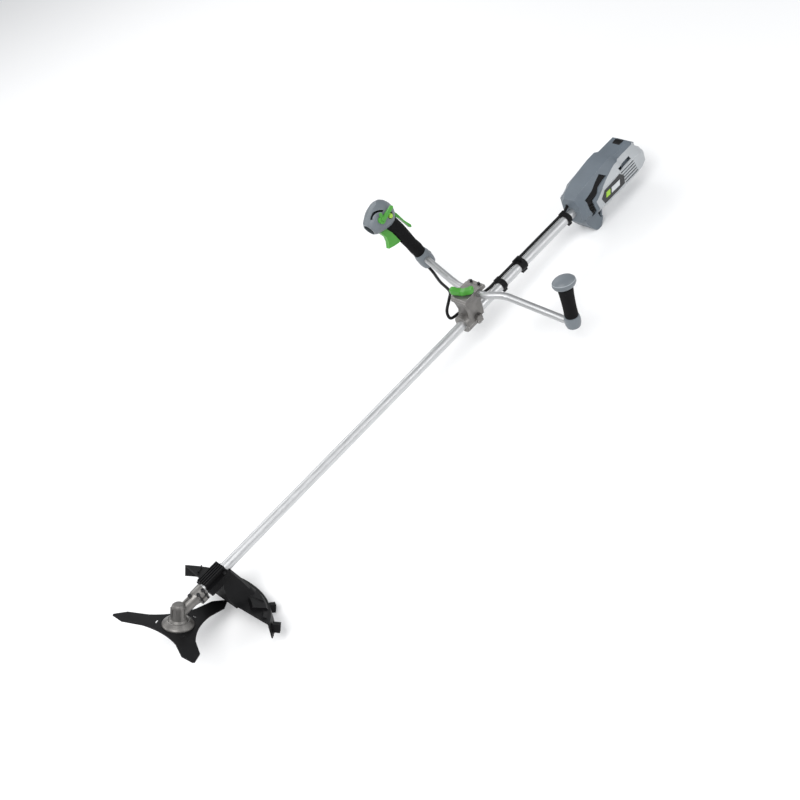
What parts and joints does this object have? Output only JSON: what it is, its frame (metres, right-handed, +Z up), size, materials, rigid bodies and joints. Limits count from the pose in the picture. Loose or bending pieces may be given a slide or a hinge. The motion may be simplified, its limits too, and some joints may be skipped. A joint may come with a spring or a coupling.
{
  "type": "brush cutter",
  "caption": "Battery brush cutter lying on its guard and foot: straight shaft, three-arm blade with guard, bike handle with grips and trigger, rear motor housing with an empty battery bay.",
  "frame": {"origin": "on the ground, under the middle of the overall length and width of the machine as it lies", "axes": "+X from the blade to the power head along the ground, +Y to the operator's right-hand grip, +Z up; the shaft drops 2.3 degrees towards +X"},
  "size_m": [1.8182, 0.5804, 0.3753],
  "materials": {
    "die_cast_grey": "as cast, lightly blasted",
    "bare_aluminium": "drawn tube, fine lengthwise grain",
    "black_painted_steel": "satin black paint",
    "bright_steel": "machined",
    "black_steel": "black oxide",
    "black_plastic": "fine spark texture",
    "black_rubber": "soft matt",
    "dark_grey_plastic": "fine spark texture",
    "silver_grey_plastic": "satin",
    "warm_grey_plastic": "satin",
    "green_plastic": "satin",
    "lime_plastic": "satin",
    "motor_iron": "stacked sheet steel",
    "switch_black": "moulded"
  },
  "bodies": {
    "frame": {"gear_housing": "die_cast_grey", "neck_bolt_1": "black_steel", "neck_bolt_2": "black_steel", "grease_plug": "black_steel", "output_bearing": "bright_steel", "input_bearing": "bright_steel", "main_tube": "bare_aluminium", "shaft_bush_1": "black_plastic", "shaft_bush_2": "black_plastic", "shaft_bush_3": "black_plastic", "guard_shell": "black_plastic", "guard_clamp": "black_plastic", "guard_bolt_1": "black_steel", "guard_bolt_2": "black_steel", "handle_clamp_body": "die_cast_grey", "handle_clamp_band": "die_cast_grey", "handle_clamp_cap": "die_cast_grey", "cap_screw_1": "black_steel", "cap_screw_2": "black_steel", "band_screw_1": "black_steel", "band_screw_2": "black_steel", "control_cable": "black_rubber", "cable_clip_front": "black_rubber", "cable_clip_rear": "black_rubber", "hanging_clamp": "black_plastic", "power_head_cover": "dark_grey_plastic", "side_panel_left": "silver_grey_plastic", "side_panel_right": "silver_grey_plastic", "vent_grille_left": "black_plastic", "vent_grille_right": "black_plastic", "badge_left": "black_plastic", "motor_stator": "motor_iron", "tube_socket": "bare_aluminium", "controller_board": "black_plastic", "battery_terminals": "black_plastic"},
    "spindle": {"blade": "black_painted_steel", "blade_upper_flange": "bright_steel", "rider_cup": "bright_steel", "blade_nut": "black_steel", "output_shaft": "bright_steel", "output_bevel_gear": "bright_steel"},
    "drive": {"input_pinion": "bright_steel", "drive_shaft": "bright_steel", "motor_rotor": "motor_iron"},
    "handlebar": {"handlebar_tube": "bare_aluminium", "left_grip_sleeve": "black_rubber", "left_grip_cap": "warm_grey_plastic", "left_grip_elbow": "warm_grey_plastic", "right_collar": "warm_grey_plastic", "collar_screw": "black_steel", "right_grip_sleeve": "black_rubber", "control_head_inner": "warm_grey_plastic", "control_head_outer": "warm_grey_plastic", "trigger_switch": "switch_black"},
    "knob": {"clamp_wing_knob": "green_plastic"},
    "trigger": {"trigger": "green_plastic"},
    "lock_off": {"lock_off_lever": "green_plastic"},
    "speed_lever": {"speed_lever": "green_plastic"},
    "button": {"power_button": "lime_plastic"},
    "latch": {"battery_latch": "black_plastic"}
  },
  "joints": [
    {"name": "blade_spin", "type": "hinge", "parent": "frame", "child": "spindle", "pos_m": [-0.81446, 0.00633, 0.14637], "axis": [0.5778, 0, 0.8162], "continuous": true},
    {"name": "drive_spin", "type": "hinge", "parent": "frame", "child": "drive", "pos_m": [-0.81446, 0.00633, 0.14637], "axis": [0.9992, 0, -0.0401], "continuous": true},
    {"name": "handlebar_tilt", "type": "hinge", "parent": "frame", "child": "handlebar", "pos_m": [0.25612, 0.00633, 0.16445], "axis": [0, 1, 0], "range_deg": [-60, 45], "deforming": ["control_cable"]},
    {"name": "knob_turn", "type": "hinge", "parent": "frame", "child": "knob", "pos_m": [0.22791, 0.00633, 0.1846], "axis": [0.0401, 0, 0.9992], "continuous": true},
    {"name": "trigger_pull", "type": "hinge", "parent": "handlebar", "child": "trigger", "pos_m": [0.25081, 0.25783, 0.3158], "axis": [0.0063, -0.9877, 0.1563], "range_deg": [0, 12], "stiffness_Nm_per_rad": 0.6, "springref_deg": -5.73},
    {"name": "lock_off_press", "type": "hinge", "parent": "handlebar", "child": "lock_off", "pos_m": [0.28903, 0.25851, 0.31856], "axis": [-0.0063, 0.9877, -0.1563], "range_deg": [0, 6], "stiffness_Nm_per_rad": 0.5, "springref_deg": -5.73},
    {"name": "speed_lever_turn", "type": "hinge", "parent": "handlebar", "child": "speed_lever", "pos_m": [0.24178, 0.23496, 0.34437], "axis": [-0.0063, 0.9877, -0.1563], "range_deg": [-55, 8]},
    {"name": "button_press", "type": "slide", "parent": "handlebar", "child": "button", "axis": [-0.0063, 0.9877, -0.1563], "range_m": [0, 0.002], "stiffness_N_per_m": 400, "springref_m": -0.001},
    {"name": "latch_press", "type": "slide", "parent": "frame", "child": "latch", "axis": [-0.0401, 0, -0.9992], "range_m": [0, 0.0025], "stiffness_N_per_m": 600, "springref_m": -0.001}
  ],
  "couplings": [
    {"joint": "drive_spin", "follows": "blade_spin", "ratio": -1.3333}
  ]
}
